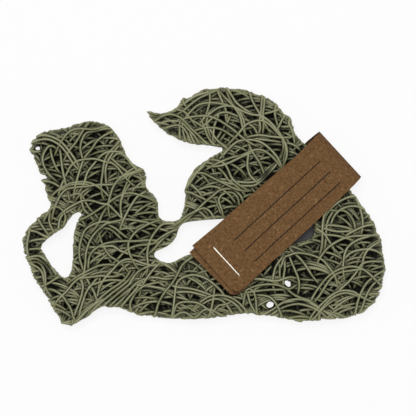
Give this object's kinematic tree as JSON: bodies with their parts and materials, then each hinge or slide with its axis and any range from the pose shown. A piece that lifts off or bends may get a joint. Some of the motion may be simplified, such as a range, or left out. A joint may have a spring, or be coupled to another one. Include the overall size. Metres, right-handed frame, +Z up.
{
  "type": "soap saver",
  "caption": "Flat springy soap saver of welded plastic strands, cut to a swimming mermaid's outline, with a folded card hang tag stapled round its tail.",
  "frame": {"origin": "middle of the mat's outline, on the surface that it rests on", "axes": "+X along the longest extent, from the raised hand and head to the bend of the tail; +Y from the hip to the flukes; +Z up, out of the soap face"},
  "size_m": [0.1177, 0.0766, 0.0107],
  "materials": {
    "strand": "satin",
    "card": "matte",
    "wire": "satin"
  },
  "bodies": {
    "mat": {"sole_strands": "strand", "second_strands": "strand", "third_strands": "strand", "fourth_strands": "strand", "fifth_strands": "strand", "sixth_strands": "strand", "seventh_strands": "strand", "eighth_strands": "strand", "soap_face_strands": "strand"},
    "tag": {"tag_card": "card", "staple": "wire"}
  },
  "joints": [
    {"name": "tag_slide", "type": "slide", "parent": "mat", "child": "tag", "axis": [0.7361, 0.6769, 0], "range_m": [-0.0012, 0.0012]}
  ]
}
